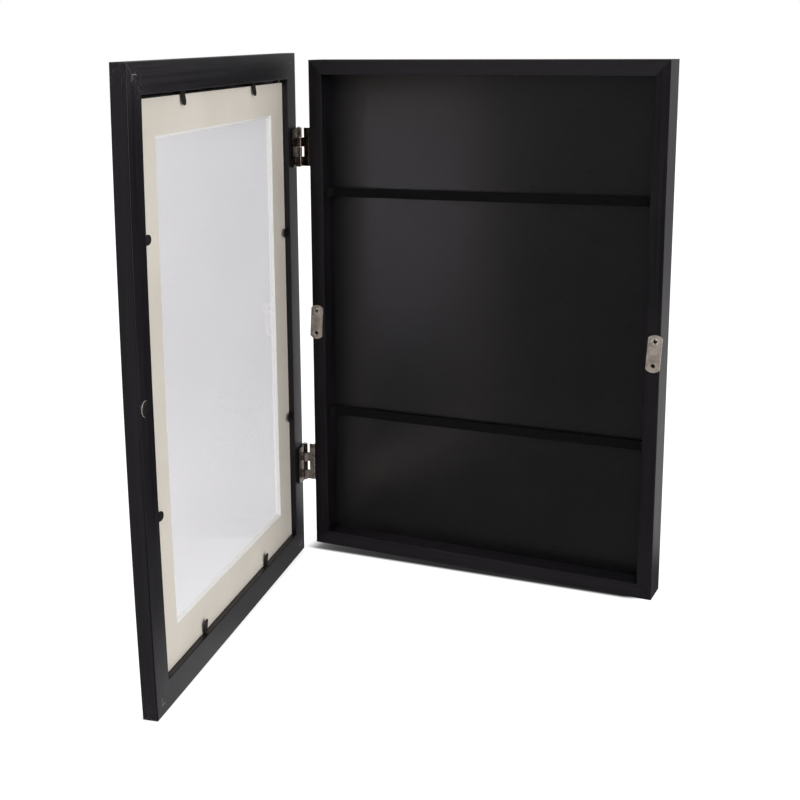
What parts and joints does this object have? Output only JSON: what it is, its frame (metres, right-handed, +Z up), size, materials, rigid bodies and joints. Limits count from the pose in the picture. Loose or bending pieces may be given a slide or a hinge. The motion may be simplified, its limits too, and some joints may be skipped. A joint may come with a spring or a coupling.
{
  "type": "front-opening display frame",
  "caption": "Shallow wall box with a hinged, glazed and matted front door that swings open so that drawings can be stacked behind it.",
  "frame": {"origin": "centre of the box's underside, which is a flat face", "axes": "+X from the hinge side to the latch side of the box, +Y from the box's open front to its back (towards the wall), +Z up; the door stands open 80 degrees on the left, towards -Y"},
  "size_m": [0.2832, 0.2982, 0.38],
  "materials": {
    "box_wood": "satin black paint over fine straight grain",
    "door_wood": "satin black paint over fine straight grain",
    "backboard": "matt black laminated hardboard",
    "mat": null,
    "glazing": "clear plastic sheet under a pale protective film",
    "elastic": "flat woven black elastic",
    "hinges": "dark nickel plate, slightly worn",
    "strike_plates": "satin nickel plate",
    "magnet": "nickel-plated disc",
    "tabs": "black lacquered spring steel",
    "v_nails": "bare steel edge",
    "points": "black flat points",
    "hangers": "bright zinc",
    "staples": "galvanised wire"
  },
  "bodies": {
    "box": {"box_top_rail": "box_wood", "box_bottom_rail": "box_wood", "box_left_stile": "box_wood", "box_right_stile": "box_wood", "back_panel": "backboard", "panel_point_top": "points", "panel_point_bottom": "points", "panel_point_left": "points", "panel_point_right": "points", "upright_hanger": "hangers", "upright_hanger_nail_a": "hangers", "upright_hanger_nail_b": "hangers", "sideways_hanger": "hangers", "sideways_hanger_nail_a": "hangers", "sideways_hanger_nail_b": "hangers", "left_strike_plate": "strike_plates", "left_strike_screw": "strike_plates", "right_strike_plate": "strike_plates", "right_strike_screw": "strike_plates", "upper_band": "elastic", "lower_band": "elastic", "upper_band_left_staple": "staples", "upper_band_right_staple": "staples", "lower_band_left_staple": "staples", "lower_band_right_staple": "staples", "upper_box_leaf": "hinges", "upper_box_leaf_screw_a": "hinges", "upper_box_leaf_screw_b": "hinges", "upper_hinge_pin": "hinges", "lower_box_leaf": "hinges", "lower_box_leaf_screw_a": "hinges", "lower_box_leaf_screw_b": "hinges", "lower_hinge_pin": "hinges"},
    "door": {"door_top_rail": "door_wood", "door_bottom_rail": "door_wood", "door_hinge_stile": "door_wood", "door_free_stile": "door_wood", "v_nail_lower_hinge": "v_nails", "v_nail_lower_free": "v_nails", "v_nail_upper_hinge": "v_nails", "v_nail_upper_free": "v_nails", "door_magnet": "magnet", "glazing_sheet": "glazing", "mat_board": "mat", "upper_door_leaf": "hinges", "upper_door_leaf_screw_a": "hinges", "upper_door_leaf_screw_b": "hinges", "lower_door_leaf": "hinges", "lower_door_leaf_screw_a": "hinges", "lower_door_leaf_screw_b": "hinges"},
    "top_tab_near": {"top_tab_1": "tabs"},
    "top_tab_far": {"top_tab_2": "tabs"},
    "bottom_tab_near": {"bottom_tab_1": "tabs"},
    "bottom_tab_far": {"bottom_tab_2": "tabs"},
    "hinge_tab_low": {"hinge_side_tab_1": "tabs"},
    "hinge_tab_high": {"hinge_side_tab_2": "tabs"},
    "free_tab_low": {"free_side_tab_1": "tabs"},
    "free_tab_high": {"free_side_tab_2": "tabs"}
  },
  "joints": [
    {"name": "door_swing", "type": "hinge", "parent": "box", "child": "door", "pos_m": [-0.13985, -0.01245, 0.1865], "axis": [0, 0, 1], "range_deg": [-100, 80]},
    {"name": "top_tab_near_bend", "type": "hinge", "parent": "door", "child": "top_tab_near", "pos_m": [-0.12907, -0.09257, 0.3564], "axis": [0.1736, -0.9848, 0], "range_deg": [0, 85]},
    {"name": "top_tab_far_bend", "type": "hinge", "parent": "door", "child": "top_tab_far", "pos_m": [-0.10889, -0.20704, 0.3564], "axis": [0.1736, -0.9848, 0], "range_deg": [0, 85]},
    {"name": "bottom_tab_near_bend", "type": "hinge", "parent": "door", "child": "bottom_tab_near", "pos_m": [-0.12874, -0.09445, 0.0136], "axis": [-0.1736, 0.9848, 0], "range_deg": [0, 85]},
    {"name": "bottom_tab_far_bend", "type": "hinge", "parent": "door", "child": "bottom_tab_far", "pos_m": [-0.10913, -0.20569, 0.0136], "axis": [-0.1736, 0.9848, 0], "range_deg": [0, 85]},
    {"name": "hinge_tab_low_bend", "type": "hinge", "parent": "door", "child": "hinge_tab_low", "pos_m": [-0.13933, -0.03439, 0.10748], "axis": [0, 0, 1], "range_deg": [0, 85]},
    {"name": "hinge_tab_high_bend", "type": "hinge", "parent": "door", "child": "hinge_tab_high", "pos_m": [-0.13933, -0.03439, 0.24694], "axis": [0, 0, 1], "range_deg": [0, 85]},
    {"name": "free_tab_low_bend", "type": "hinge", "parent": "door", "child": "free_tab_low", "pos_m": [-0.0983, -0.2671, 0.11318], "axis": [0, 0, -1], "range_deg": [0, 85]},
    {"name": "free_tab_high_bend", "type": "hinge", "parent": "door", "child": "free_tab_high", "pos_m": [-0.0983, -0.2671, 0.27658], "axis": [0, 0, -1], "range_deg": [0, 85]}
  ]
}
